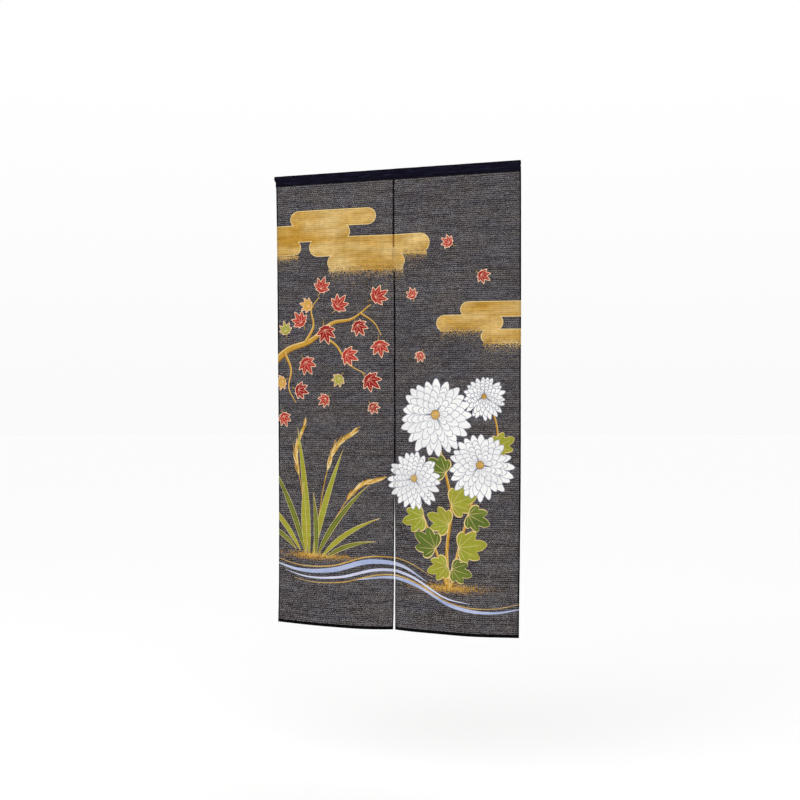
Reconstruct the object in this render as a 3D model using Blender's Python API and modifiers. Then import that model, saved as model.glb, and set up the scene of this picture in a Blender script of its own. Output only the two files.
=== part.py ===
"""Noren curtain: a sewn sleeve for a rod, with two hemmed cloth panels hanging under it.

Metres, +Z up. The origin is the middle of the sleeve's top edge, X runs along the
curtain's width and the curtain's front faces -Y. The panels are joined for a short way
under the sleeve and part below that at the slit.
"""
import math

import bmesh
import bpy

# Driving dimensions
CURTAIN_HEIGHT = 1.500
SLEEVE_HEIGHT = 0.035
SLEEVE_LEFT_END = -0.425
SLEEVE_RIGHT_END = 0.4255
ROD_PART_OVERHANG = 0.003      # how much further out the round part's left end stands
ROD_PART_RADIUS = 0.0070       # middle of the ply where it goes round the rod's place
ROD_PART_LOW = 0.0210          # depth at which the two plies have come together
ROD_PART_STEP = 0.0063         # height over which its left end steps out
PLY_THICKNESS = 0.0010

PANEL_TOP = 0.0200             # depth of the panels' top edge, between the plies
PANEL_THICKNESS = 0.0010
HEM_THICKNESS = 0.0018
SIDE_HEM = 0.0048
BOTTOM_HEM = 0.0095
HEM_STEP = 0.0010              # how fast a hem thins to the single cloth
SEWN_GAP = 0.0003

# Where the four long edges hang, from the photograph. Each row is a level.
# depth, left panel's outer edge, its slit edge, right panel's slit edge, its outer edge
EDGES = (
    (0.000, -0.4250, -0.0003, 0.0003, 0.4270),
    (0.080, -0.4230, -0.0003, 0.0003, 0.4275),
    (0.255, -0.4202, -0.0003, 0.0003, 0.4275),
    (0.420, -0.4184, 0.0025, 0.0034, 0.4275),
    (0.620, -0.4168, 0.0036, 0.0045, 0.4270),
    (0.850, -0.4150, 0.0039, 0.0048, 0.4268),
    (1.050, -0.4130, 0.0032, 0.0050, 0.4262),
    (1.250, -0.4128, 0.0014, 0.0054, 0.4238),
    (1.400, -0.4140, 0.0002, 0.0058, 0.4214),
    (1.500, -0.4163, -0.0004, 0.0060, 0.4205),
)

# How far each panel stands forward at its bottom hem, as waves across its width.
# half waves, depth of the wave, power of the depth by which it grows
LEFT_WAVES = ((1, 0.0320, 0.6), (2, -0.0055, 1.5), (3, 0.0027, 1.5), (4, -0.0010, 2.0))
RIGHT_WAVES = ((1, 0.0310, 0.6), (2, -0.0030, 1.5), (3, 0.0012, 1.5), (4, 0.0020, 2.0))

# Points in the meshes
PANEL_COLUMNS = 20
PANEL_ROWS = 34
ROW_CROWDING = 1.15            # over 1 sets the rows closer together under the sleeve
SLEEVE_STATIONS = 8
ARC_STEPS = 10
FLARE_STEPS = 7


def level(depth):
    """The four edges' places at a depth, on smooth curves through the rows of EDGES."""
    last = len(EDGES) - 1
    upper = max(row for row in range(last) if row == 0 or EDGES[row][0] <= depth)
    before, start = EDGES[max(upper - 1, 0)], EDGES[upper]
    end, after = EDGES[upper + 1], EDGES[min(upper + 2, last)]
    span = end[0] - start[0]
    share = (depth - start[0]) / span
    places = []
    for column in range(1, 5):
        slope_in = (end[column] - before[column]) / (end[0] - before[0]) * span
        slope_out = (after[column] - start[column]) / (after[0] - start[0]) * span
        places.append(hermite(start[column], end[column], slope_in, slope_out, share))
    return places


def hermite(start, end, slope_in, slope_out, share):
    """A point on the smooth curve from start to end with these slopes."""
    square, cube = share ** 2, share ** 3
    return (
        start * (2 * cube - 3 * square + 1)
        + slope_in * (cube - 2 * square + share)
        + end * (3 * square - 2 * cube)
        + slope_out * (cube - square)
    )


def forward(waves, across, depth):
    """How far the cloth stands in front of the sleeve's middle plane."""
    hang = max(0.0, (depth - SLEEVE_HEIGHT) / (CURTAIN_HEIGHT - SLEEVE_HEIGHT))
    total = 0.0
    for half_waves, height, power in waves:
        grown = math.sin(0.5 * math.pi * hang ** power)
        total += height * grown * math.sin(half_waves * math.pi * across)
    return total


def panel_point(side, across, depth):
    """Middle of a panel's cloth, by its share across from the left edge and its depth."""
    edges = level(depth)
    left, right = (edges[0], edges[1]) if side == "left" else (edges[2], edges[3])
    waves = LEFT_WAVES if side == "left" else RIGHT_WAVES
    return left + (right - left) * across, -forward(waves, across, depth), -depth


def sleeve_section():
    """The ply's middle line from the front's lower edge over the rod's place to the back."""
    flat = 0.5 * HEM_THICKNESS + SEWN_GAP + 0.5 * PLY_THICKNESS
    centre = ROD_PART_RADIUS + 0.5 * PLY_THICKNESS
    front = [(-flat, -SLEEVE_HEIGHT)]
    for step in range(FLARE_STEPS):
        share = step / FLARE_STEPS
        swell = 0.5 - 0.5 * math.cos(math.pi * share)
        front.append((
            -flat - (ROD_PART_RADIUS - flat) * swell,
            -ROD_PART_LOW + (ROD_PART_LOW - centre) * share,
        ))
    arc = []
    for step in range(ARC_STEPS + 1):
        angle = math.pi * (1.0 - step / ARC_STEPS)
        arc.append((
            ROD_PART_RADIUS * math.cos(angle),
            -centre + ROD_PART_RADIUS * math.sin(angle),
        ))
    back = [(-y, z) for y, z in reversed(front)]
    return front + arc + back


def sleeve_point(along, place):
    """A point of the sleeve, by its share along the length and its place in the section."""
    y, z = place
    stepped_out = min(1.0, max(0.0, (z + ROD_PART_LOW) / ROD_PART_STEP))
    left = SLEEVE_LEFT_END - ROD_PART_OVERHANG * stepped_out
    return left + (SLEEVE_RIGHT_END - left) * along, y, z


def sheet_object(name, columns, rows, place, material, collection):
    """A grid primitive whose points are put in place by column and row."""
    mesh = bpy.data.meshes.new(name)
    grid = bmesh.new()
    bmesh.ops.create_grid(
        grid, x_segments=len(columns) - 1, y_segments=len(rows) - 1, size=0.5
    )
    for vert in grid.verts:
        column = round((vert.co.x + 0.5) * (len(columns) - 1))
        row = round((vert.co.y + 0.5) * (len(rows) - 1))
        vert.co = place(columns[column], rows[row])
    bmesh.ops.recalc_face_normals(grid, faces=grid.faces)
    grid.to_mesh(mesh)
    grid.free()
    mesh.shade_smooth()
    mesh.materials.append(material)
    sheet = bpy.data.objects.new(name, mesh)
    collection.objects.link(sheet)
    return sheet


def thicken(sheet, thickness):
    """Give an open sheet its cloth thickness, half to each side."""
    solidify = sheet.modifiers.new("cloth thickness", "SOLIDIFY")
    solidify.thickness = thickness
    solidify.offset = 0.0
    solidify.use_even_offset = True
    return solidify


def cloth(name, colour, roughness):
    """A plain cloth material."""
    material = bpy.data.materials.new(name)
    material.use_nodes = True
    material.diffuse_color = colour
    shader = material.node_tree.nodes["Principled BSDF"]
    shader.inputs["Base Color"].default_value = colour
    shader.inputs["Roughness"].default_value = roughness
    shader.inputs["Metallic"].default_value = 0.0
    return material


def across_panel():
    """Shares of a panel's width, with close pairs where a side hem ends."""
    width = EDGES[0][4] - EDGES[0][3]
    inner = (SIDE_HEM + HEM_STEP) / width
    middle = [
        inner + (1.0 - 2.0 * inner) * step / PANEL_COLUMNS for step in range(PANEL_COLUMNS + 1)
    ]
    return [0.0, SIDE_HEM / width] + middle + [1.0 - SIDE_HEM / width, 1.0]


def down_panel():
    """Depths down a panel, with a level at the sleeve's edge and a pair at the hem."""
    hem_top = CURTAIN_HEIGHT - BOTTOM_HEM
    body = hem_top - HEM_STEP - SLEEVE_HEIGHT
    levels = [PANEL_TOP]
    for step in range(PANEL_ROWS + 1):
        levels.append(SLEEVE_HEIGHT + body * (step / PANEL_ROWS) ** ROW_CROWDING)
    return levels + [hem_top, CURTAIN_HEIGHT]


def add_panel(side, material, collection):
    """One hemmed panel, bowed towards the front below the sleeve."""
    columns, rows = across_panel(), down_panel()
    panel = sheet_object(
        side + "_panel", columns, rows,
        lambda across, depth: panel_point(side, across, depth), material, collection,
    )
    hems = panel.vertex_groups.new(name="hems")
    far_hem, bottom_hem = len(columns) - 2, len(rows) - 2
    for vert in panel.data.vertices:
        row, column = divmod(vert.index, len(columns))
        if column < 2 or column >= far_hem or row >= bottom_hem:
            hems.add([vert.index], 1.0, "REPLACE")
    solidify = thicken(panel, HEM_THICKNESS)
    solidify.vertex_group = hems.name
    solidify.thickness_vertex_group = PANEL_THICKNESS / HEM_THICKNESS
    return panel


def add_sleeve(material, collection):
    """The opaque strip folded over for the rod and down both sides of the panels."""
    stations = [step / SLEEVE_STATIONS for step in range(SLEEVE_STATIONS + 1)]
    sleeve = sheet_object(
        "sleeve", stations, sleeve_section(), sleeve_point, material, collection
    )
    thicken(sleeve, PLY_THICKNESS)
    return sleeve


def main():
    for old in list(bpy.data.objects):
        bpy.data.objects.remove(old, do_unlink=True)
    curtain = bpy.data.collections.new("noren_curtain")
    bpy.context.scene.collection.children.link(curtain)
    navy = cloth("sleeve_cloth", (0.006, 0.006, 0.014, 1.0), 0.85)
    charcoal = cloth("panel_cloth", (0.035, 0.033, 0.038, 1.0), 0.9)
    add_sleeve(navy, curtain)
    add_panel("left", charcoal, curtain)
    add_panel("right", charcoal, curtain)


main()
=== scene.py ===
"""Noren curtain, dressed: slub weave, hems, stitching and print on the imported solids.

Laid out as an add-on, and run as a script. Metres, +Z up: the origin is the middle of the
sleeve's top edge, X runs along the curtain's width and the curtain's front faces -Y.
"""

import math
import random
from functools import partial

import bmesh
import bpy
from bpy.props import FloatProperty, FloatVectorProperty, IntProperty, PointerProperty
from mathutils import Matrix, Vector, noise
from mathutils.geometry import delaunay_2d_cdt


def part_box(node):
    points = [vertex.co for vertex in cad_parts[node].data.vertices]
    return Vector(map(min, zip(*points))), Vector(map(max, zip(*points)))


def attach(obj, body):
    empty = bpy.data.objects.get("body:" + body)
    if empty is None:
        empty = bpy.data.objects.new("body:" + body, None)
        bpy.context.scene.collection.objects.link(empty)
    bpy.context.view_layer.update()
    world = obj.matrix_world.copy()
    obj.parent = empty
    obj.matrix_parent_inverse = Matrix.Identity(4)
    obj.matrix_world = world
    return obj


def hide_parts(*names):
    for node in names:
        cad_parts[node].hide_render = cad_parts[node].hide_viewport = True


bl_info = {
    "name": "Noren Curtain",
    "version": (1, 0, 0),
    "blender": (4, 5, 0),
    "location": "3D View > Sidebar > Noren",
    "description": "Dresses a split doorway curtain with sheer cloth, stitching and print",
    "category": "Object",
}

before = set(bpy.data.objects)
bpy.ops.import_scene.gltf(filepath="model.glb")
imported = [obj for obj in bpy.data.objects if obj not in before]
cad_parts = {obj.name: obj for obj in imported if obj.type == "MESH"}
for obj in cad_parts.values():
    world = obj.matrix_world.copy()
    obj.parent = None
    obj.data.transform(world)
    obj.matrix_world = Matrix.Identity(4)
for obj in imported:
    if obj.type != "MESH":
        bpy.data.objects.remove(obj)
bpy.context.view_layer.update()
SLEEVE_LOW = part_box("sleeve")[0]
PANEL_LOW, PANEL_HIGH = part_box("left_panel")

# The cloth's shape, as in the solids
CURTAIN_HEIGHT = -PANEL_LOW.z
SLEEVE_HEIGHT = -SLEEVE_LOW.z
PANEL_TOP = -PANEL_HIGH.z
SLEEVE_LEFT_END = -0.425
SLEEVE_RIGHT_END = 0.4255
ROD_PART_OVERHANG = 0.003
ROD_PART_RADIUS = 0.0070
ROD_PART_LOW = 0.0210
ROD_PART_STEP = 0.0063
ROD_PART_CENTRE = 0.0075
PLY_MIDDLE = 0.0017            # from the cloth's middle plane to the middle of a ply
SEAM_END = 0.255               # depth at which the panels part

# Where the four long edges hang. Each row is a level.
# depth, left panel's outer edge, its slit edge, right panel's slit edge, its outer edge
EDGES = (
    (0.000, -0.4250, 0.0, 0.0, 0.4270),
    (0.080, -0.4230, 0.0, 0.0, 0.4275),
    (0.255, -0.4202, 0.0, 0.0, 0.4275),
    (0.420, -0.4184, 0.0029, 0.0030, 0.4275),
    (0.620, -0.4168, 0.0040, 0.0041, 0.4270),
    (0.850, -0.4150, 0.0042, 0.0044, 0.4268),
    (1.050, -0.4130, 0.0038, 0.0045, 0.4262),
    (1.250, -0.4128, 0.0013, 0.0056, 0.4238),
    (1.400, -0.4140, 0.0009, 0.0056, 0.4214),
    (1.500, -0.4163, -0.0013, 0.0058, 0.4205),
)

# How far each panel stands forward at its bottom hem, as waves across its width.
# half waves, depth of the wave, power of the depth by which it grows
LEFT_WAVES = ((1, 0.0320, 0.6), (2, -0.0055, 1.5), (3, 0.0027, 1.5), (4, -0.0010, 2.0))
RIGHT_WAVES = ((1, 0.0310, 0.6), (2, -0.0030, 1.5), (3, 0.0012, 1.5), (4, 0.0020, 2.0))


def srgb(code):
    """A colour in linear light from its usual six-digit code."""
    channels = [int(code[start:start + 2], 16) / 255 for start in (0, 2, 4)]
    return tuple(c / 12.92 if c <= 0.04045 else ((c + 0.055) / 1.055) ** 2.4 for c in channels)


# Settings

def measure(label, description, metres, least):
    """A size setting."""
    return FloatProperty(
        name=label, description=description, default=metres, min=least,
        precision=5, subtype="DISTANCE", unit="LENGTH")


def dye(label, description, code):
    """A colour setting."""
    return FloatVectorProperty(
        name=label, description=description, default=srgb(code),
        subtype="COLOR", size=3, min=0.0, max=1.0)


class NorenClothSettings(bpy.types.PropertyGroup):
    """Sizes of the cloth, its threads and its sewing."""

    cloth_thickness: measure(
        "Cloth Thickness", "Thickness of the single sheer cloth", 0.0005, 0.0002)
    hem_thickness: measure(
        "Hem Thickness", "Thickness where the cloth is folded for a hem", 0.0013, 0.0004)
    side_hem: measure("Side Hem", "Width of the hems along the outer edges", 0.0048, 0.002)
    slit_hem: measure("Slit Hem", "Width of the hems at the slit", 0.0027, 0.002)
    bottom_hem: measure("Bottom Hem", "Height of the hem along a panel's lower edge", 0.0105, 0.003)
    ply_thickness: measure(
        "Sleeve Thickness", "Thickness of the sleeve's opaque cloth", 0.0006, 0.0003)
    warp_pitch: measure("Warp Pitch", "Distance between upright threads", 0.0012, 0.0003)
    weft_pitch: measure("Weft Pitch", "Distance between level threads", 0.0013, 0.0003)
    yarn_group: IntProperty(
        name="Yarn Group", description="How many threads lie together in one level row",
        default=5, min=1)
    slub_length: measure(
        "Slub Length", "Usual length of the thick places in a level thread", 0.014, 0.005)
    stitch_length: measure("Stitch Length", "Distance from one stitch to the next", 0.0034, 0.002)
    thread_radius: measure("Thread Radius", "Radius of the sewing thread", 0.00022, 0.0001)
    point_spacing: measure(
        "Point Spacing", "Distance between the points of a panel's mesh", 0.013, 0.006)


class NorenPrintSettings(bpy.types.PropertyGroup):
    """Colours of the cloth and of the inks, in linear light."""

    cloth: dye("Sheer Cloth", "Thread colour of the panels", "39353b")
    warm_cloth: dye("Warm Cloth", "Colour that the sheer cloth drifts towards", "3d3634")
    hem: dye("Hem", "Folded edges of the panels, and the sewing thread", "050508")
    sleeve: dye("Sleeve", "Thread colour of the sleeve", "0c0b17")
    gold: dye("Gold", "Gold of the cloud bands", "b18530")
    light_gold: dye("Light Gold", "Lighter places in the cloud bands", "d6b87a")
    pale_gold: dye("Pale Gold", "Fine gold outlines", "e2c88e")
    ochre: dye("Ochre", "Branches, stems and plumes", "c8993a")
    brown: dye("Brown", "Dark sides of branches", "8c5f22")
    red: dye("Red", "Red maple leaves", "b03a32")
    deep_red: dye("Deep Red", "Darker maple leaves", "8c1a1c")
    blush: dye("Blush", "Outlines of the maple leaves", "efc3a6")
    white: dye("White", "Petals of the white flowers", "efeeeb")
    shaded_white: dye("Shaded White", "Cooler places in the white petals", "dddcdd")
    grey_line: dye("Grey Line", "Linework on the white flowers", "868a9a")
    green: dye("Green", "Grass and leaves", "8f9a34")
    deep_green: dye("Deep Green", "Shaded leaves", "56682c")
    olive: dye("Olive", "Yellowed places in the leaves", "a98f34")
    pale_blue: dye("Pale Blue", "The stream", "9aa8cc")
    lilac: dye("Lilac", "Light bands of the stream", "cfcfe2")


class NorenStageSettings(bpy.types.PropertyGroup):
    """The studio round the curtain."""

    camera_turn: FloatProperty(
        name="Camera Turn", description="How far the camera stands to the right of square on",
        default=math.radians(20.8), subtype="ANGLE")
    camera_distance: measure(
        "Camera Distance", "From the lens to the middle of the curtain", 4.112, 1.0)
    focal_pixels: FloatProperty(
        name="Focal Length", description="Focal length in pixels of an 800 pixel picture",
        default=1263.2, min=100.0)
    floor_drop: measure("Floor Drop", "From the curtain's lower edge to the floor", 0.45, 0.0)
    floor_radius: measure("Floor Radius", "Radius of the round floor", 40.0, 5.0)


# The cloth's surface

def curve_between(start, end, slope_in, slope_out, share):
    """A point on the smooth curve from start to end with these slopes."""
    square, cube = share ** 2, share ** 3
    return (
        start * (2 * cube - 3 * square + 1)
        + slope_in * (cube - 2 * square + share)
        + end * (3 * square - 2 * cube)
        + slope_out * (cube - square)
    )


def level(depth):
    """The four edges' places at a depth, on smooth curves through the rows of EDGES."""
    last = len(EDGES) - 1
    upper = max(row for row in range(last) if row == 0 or EDGES[row][0] <= depth)
    before, start = EDGES[max(upper - 1, 0)], EDGES[upper]
    end, after = EDGES[upper + 1], EDGES[min(upper + 2, last)]
    span = end[0] - start[0]
    share = (depth - start[0]) / span
    places = []
    for column in range(1, 5):
        slope_in = (end[column] - before[column]) / (end[0] - before[0]) * span
        slope_out = (after[column] - start[column]) / (after[0] - start[0]) * span
        places.append(curve_between(start[column], end[column], slope_in, slope_out, share))
    return places


def hang_share(depth):
    """From 0 at the sleeve's lower edge to 1 at the bottom hem."""
    return min(1.0, max(0.0, (depth - SLEEVE_HEIGHT) / (CURTAIN_HEIGHT - SLEEVE_HEIGHT)))


def forward(waves, across, depth):
    """How far the cloth stands in front of the sleeve's middle plane."""
    hang = hang_share(depth)
    total = 0.0
    for half_waves, height, power in waves:
        grown = math.sin(0.5 * math.pi * hang ** power)
        total += height * grown * math.sin(half_waves * math.pi * across)
    return total


def flat_edges(side):
    """Left and right edge of a panel as it lies flat."""
    row = EDGES[0]
    return (row[1], row[2]) if side == "left" else (row[3], row[4])


UNEVEN_SCALE = 0.16            # distance over which the broad unevenness changes
UNEVEN_HEIGHT = 0.0018
STILL_PART = 1.0 / 12.0        # share of the hang over which the sleeve keeps the cloth flat
PUCKER_PITCH = 0.021           # distance from one pucker of a sewn hem to the next
PUCKER_HEIGHT = 0.0005
PUCKER_REACH = 0.018           # how far puckers run in from an edge
PUCKER_DRIFT = 2.0             # puckers by which their row runs early or late
NORMAL_REACH = 0.002           # distance to the points that give the cloth's direction


def unevenness(x, depth, from_edge):
    """Small soft hollows and rises of the cloth, with puckers near a sewn edge."""
    freed = min(1.0, hang_share(depth) / STILL_PART)
    broad = noise.noise(Vector((x, 0.6 * depth, 4.7)) / UNEVEN_SCALE)
    near = math.exp(-from_edge / PUCKER_REACH)
    drift = noise.noise(Vector((x, depth, 9.1)) * 9.0)
    pucker = math.sin(2.0 * math.pi * (depth / PUCKER_PITCH + PUCKER_DRIFT * drift))
    return freed * (UNEVEN_HEIGHT * broad + PUCKER_HEIGHT * near * pucker)


def cloth_point(side, x, depth):
    """Middle of the cloth for a place given on the flat panel."""
    flat_left, flat_right = flat_edges(side)
    across = (x - flat_left) / (flat_right - flat_left)
    edges = level(depth)
    left, right = (edges[0], edges[1]) if side == "left" else (edges[2], edges[3])
    waves = LEFT_WAVES if side == "left" else RIGHT_WAVES
    from_edge = min(x - flat_left, flat_right - x)
    out = forward(waves, across, depth) + unevenness(x, depth, max(0.0, from_edge))
    return Vector((left + (right - left) * across, -out, -depth))


def cloth_normal(side, x, depth):
    """Direction square to the cloth, towards the front."""
    flat_left, flat_right = flat_edges(side)
    west, east = max(x - NORMAL_REACH, flat_left), min(x + NORMAL_REACH, flat_right)
    low, high = min(depth + NORMAL_REACH, CURTAIN_HEIGHT), depth - NORMAL_REACH
    along = cloth_point(side, east, depth) - cloth_point(side, west, depth)
    down = cloth_point(side, x, low) - cloth_point(side, x, high)
    return down.cross(along).normalized()


# Outlines in the flat cloth's plane: x to the right, y up, 0 at the curtain's top edge

def direction(angle):
    return Vector((math.cos(angle), math.sin(angle)))


def ahead_at(line, place):
    """The way from the point before a place on a line to the one after it."""
    return line[min(place + 1, len(line) - 1)] - line[max(place - 1, 0)]


def square_to(ahead):
    """The direction to the left of the way ahead."""
    return Vector((-ahead.y, ahead.x)).normalized()


def smooth(points, steps=6):
    """Points on a smooth open curve through the given ones."""
    points = [Vector(p) for p in points]
    padded = [2 * points[0] - points[1]] + points + [2 * points[-1] - points[-2]]
    curve = []
    for start in range(1, len(padded) - 2):
        before, a, b, after = padded[start - 1:start + 3]
        for step in range(steps):
            share = step / steps
            x = curve_between(a.x, b.x, 0.5 * (b.x - before.x), 0.5 * (after.x - a.x), share)
            y = curve_between(a.y, b.y, 0.5 * (b.y - before.y), 0.5 * (after.y - a.y), share)
            curve.append(Vector((x, y)))
    return curve + [points[-1]]


def stroke(line, start_width, end_width, swell=0.0):
    """Outline of a brush stroke along a line, from one width to another."""
    left, right = [], []
    for place, point in enumerate(line):
        share = place / (len(line) - 1)
        side = square_to(ahead_at(line, place))
        width = start_width + (end_width - start_width) * share
        width += swell * math.sin(math.pi * share)
        left.append(point + 0.5 * width * side)
        right.append(point - 0.5 * width * side)
    return left + right[::-1]


def petal(base, angle, length, width, widest=0.62, blunt=0.7, bend=0.0, steps=7):
    """Outline of a petal, leaf or blade, from its base to its tip."""
    power = math.log(0.5) / math.log(widest)
    along = direction(angle)
    side = Vector((-along.y, along.x))
    left, right = [], []
    for step in range(steps + 1):
        share = 0.5 - 0.5 * math.cos(math.pi * step / steps)
        half = 0.5 * width * abs(math.sin(math.pi * share ** power)) ** blunt
        middle = Vector(base) + along * length * share + side * bend * length * share ** 2
        left.append(middle + side * half)
        right.append(middle - side * half)
    return left + right[-2:0:-1]


def disc(centre, radius, sides=12, turn=0.0):
    return [
        Vector(centre) + radius * direction(turn + 2.0 * math.pi * side / sides)
        for side in range(sides)
    ]


def bar(left, right, middle, height, steps=7):
    """A level band with round ends."""
    radius = 0.5 * height
    outline = []
    for end, facing in ((right - radius, -0.5), (left + radius, 0.5)):
        for step in range(steps + 1):
            angle = math.pi * (facing + step / steps)
            outline.append(Vector((end, middle)) + radius * direction(angle))
    return outline


# Motifs. Each gives (ink, outline) pairs, later ones over earlier ones

FINE_LINE = 0.0016
LINE = 0.0022
HAIRLINE = 0.0006              # width to which veins and stalks taper
SMALLEST_SPECK = 0.35          # as a share of the biggest
LONGEST_DROP = 4.0             # how far dust reaches, in usual drops
ROUNDING = 6                   # the higher, the squarer the ends of a row of dust
MOUND_SPREAD = 0.45            # usual distance from a mound's middle, as a share of its reach
MOUND_FALL = 1.5               # how fast specks grow smaller away from there


def cloud(bars):
    """Level gold mist bands run together, with one pale line round them all."""
    inked = [("pale_gold", bar(*row)) for row in bars]
    for left, right, middle, height in bars:
        inked.append(("gold", bar(left + LINE, right - LINE, middle, height - 2.0 * LINE)))
    return inked


def speck(ink, place, big, nearness, chance):
    """A small five-sided dab, smaller the less near it lies to where the ink is thick."""
    size = big * (SMALLEST_SPECK + (1.0 - SMALLEST_SPECK) * nearness * chance.random())
    return ink, disc(place, size, 5, chance.uniform(0.0, 1.2))


def dust(ink, count, left, right, start, fall, seed, big):
    """Specks that thin out downwards from a level, or upwards where fall is negative."""
    chance = random.Random(seed)
    inked = []
    for _ in range(count):
        drop = min(chance.expovariate(1.0), LONGEST_DROP)
        rounded = 1.0 - abs(chance.uniform(-1.0, 1.0)) ** ROUNDING
        place = Vector((chance.uniform(left, right), start - fall * drop * rounded))
        inked.append(speck(ink, place, big, math.exp(-drop), chance))
    return inked


def mound(ink, count, centre, reach, seed, big):
    """Specks that lie thick in the middle of a low mound and thin out all round it."""
    chance = random.Random(seed)
    inked = []
    for _ in range(count):
        away = Vector((chance.gauss(0.0, MOUND_SPREAD), chance.gauss(0.0, MOUND_SPREAD)))
        place = Vector((centre[0] + reach[0] * away.x, centre[1] + reach[1] * away.y))
        inked.append(speck(ink, place, big, math.exp(-MOUND_FALL * away.length), chance))
    return inked


PETAL_RINGS = (
    # share of the radius, petals, share of the radius for a petal's width
    (1.00, 21, 0.27), (0.83, 18, 0.26), (0.65, 15, 0.24), (0.47, 12, 0.21), (0.31, 9, 0.17),
)
PETAL_LENGTHS = (0.94, 1.03)   # of one ring, as shares of its reach
PETAL_STRAY = 0.05             # how far a petal turns from its even place
PETAL_BEND = 0.08
FROM_BELOW = 0.10              # share by which the lower petals look longer
PETAL_SHAPE = {"widest": 0.70, "blunt": 0.62}
VEIN_STATIONS = (0.3, 0.5, 0.68)
PETAL_ROOT = 0.10              # distance of a petal's root from the middle, in radii
HEART_RIM, HEART, HEART_DOTS, DOT = 0.135, 0.115, 0.07, 0.02   # radii of the flower's middle


def chrysanthemum(centre, radius, turn, seed):
    """A white many-petalled flower, seen a little from below."""
    chance = random.Random(seed)
    heart = Vector(centre)
    inked = []
    for ring, (reach, petals, width) in enumerate(PETAL_RINGS):
        for number in range(petals):
            angle = turn + 2.0 * math.pi * (number + 0.5 * (ring % 2)) / petals
            angle += chance.uniform(-PETAL_STRAY, PETAL_STRAY)
            length = reach * radius * (1.0 - FROM_BELOW * math.sin(angle))
            length *= chance.uniform(*PETAL_LENGTHS)
            bend = chance.uniform(-PETAL_BEND, PETAL_BEND)
            base = heart + PETAL_ROOT * radius * direction(angle)
            vein = [
                base + share * length * direction(angle + bend * share)
                for share in VEIN_STATIONS
            ]
            inked += [
                ("grey_line", petal(base, angle, length, width * radius, bend=bend, **PETAL_SHAPE)),
                ("white", petal(
                    base + LINE * direction(angle), angle, length - 2.0 * LINE,
                    width * radius - 2.0 * FINE_LINE, bend=bend, **PETAL_SHAPE)),
                ("grey_line", stroke(vein, FINE_LINE, 0.4 * FINE_LINE)),
            ]
    inked += [
        ("brown", disc(heart, HEART_RIM * radius, 14)),
        ("gold", disc(heart, HEART * radius, 14)),
    ]
    for number in range(8):
        dot = heart + HEART_DOTS * radius * direction(turn + number * math.pi / 4)
        inked.append(("ochre", disc(dot, DOT * radius, 6)))
    return inked


MAPLE_POINTS = (
    # turn from the leaf's line, share of the radius, share of the radius for a point's width
    (1.98, 0.48, 0.24), (-1.98, 0.48, 0.24), (1.30, 0.78, 0.34), (-1.30, 0.78, 0.34),
    (0.66, 0.96, 0.38), (-0.66, 0.96, 0.38), (0.0, 1.08, 0.40),
)
MAPLE_SHAPE = {"widest": 0.42, "blunt": 0.80}
MAPLE_HEART = 0.26             # share of the radius
MAPLE_VEIN = 0.70              # share of a point's length
MAPLE_STALK = (
    # share of the radius, turn from the leaf's line
    (0.3, 0.15), (0.62, -0.1),
)


def maple(centre, radius, angle, ink):
    """A seven-pointed leaf with a pale edge, its veins and its stalk."""
    centre = Vector(centre)
    heart = MAPLE_HEART * radius
    stalk = smooth(
        [centre] + [centre - away * radius * direction(angle + turn) for away, turn in MAPLE_STALK], 4)
    inked = [("ochre", stroke(stalk, 0.0024, 0.0016)), ("blush", disc(centre, heart + FINE_LINE, 10))]
    for turn, reach, width in MAPLE_POINTS:
        inked.append(("blush", petal(
            centre, angle + turn, reach * radius, width * radius + FINE_LINE, **MAPLE_SHAPE)))
    inked.append((ink, disc(centre, heart, 10)))
    for turn, reach, width in MAPLE_POINTS:
        inked.append((ink, petal(
            centre, angle + turn, reach * radius - 1.8 * LINE, width * radius - FINE_LINE,
            **MAPLE_SHAPE)))
    for turn, reach, _ in MAPLE_POINTS[2:]:
        tip = MAPLE_VEIN * reach * radius * direction(angle + turn)
        inked.append(("blush", stroke([centre, centre + 0.5 * tip, centre + tip], 0.0011, 0.0005)))
    return inked


LEAF_LOBES = (
    # turn from the leaf's line, share of the length, share of the length for the width
    (1.15, 0.58, 0.34), (-1.15, 0.58, 0.34), (0.58, 0.82, 0.36), (-0.58, 0.82, 0.36), (0.0, 1.0, 0.42),
)
LOBE_SHAPE = {"widest": 0.62, "blunt": 0.6}


def lobed_leaf(base, angle, length, ink):
    """A leaf of five round lobes, as a chrysanthemum has."""
    base = Vector(base)
    inner = base + LINE * direction(angle)
    edges, lobes, veins = [], [], []
    for turn, reach, width in LEAF_LOBES:
        long, wide = reach * length, width * length
        vein = [base + share * long * direction(angle + turn) for share in (0.0, 0.4, 0.8)]
        edges.append(("pale_gold", petal(base, angle + turn, long, wide, **LOBE_SHAPE)))
        lobes.append((ink, petal(
            inner, angle + turn, long - 1.5 * LINE, wide - 2.0 * FINE_LINE, **LOBE_SHAPE)))
        veins.append(("pale_gold", stroke(vein, 0.0014, HAIRLINE)))
    return edges + lobes + veins


BRANCH_DARK, BRANCH_LIGHT = -0.10, 0.30    # how far up its two edge lines lie, in widths


def branch(points, start_width, end_width):
    """A tapering ochre branch, dark underneath and pale along its upper side."""
    line = smooth(points)
    lowered, raised = [], []
    for place, point in enumerate(line):
        width = start_width + (end_width - start_width) * place / (len(line) - 1)
        side = square_to(ahead_at(line, place))
        up = -side if side.y < 0.0 else side
        lowered.append(point + BRANCH_DARK * width * up)
        raised.append(point + BRANCH_LIGHT * width * up)
    return [
        ("brown", stroke(lowered, 1.12 * start_width, 1.3 * end_width)),
        ("ochre", stroke(line, 0.9 * start_width, 0.9 * end_width)),
        ("pale_gold", stroke(raised, 0.14 * start_width + 0.0004, HAIRLINE)),
    ]


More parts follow.
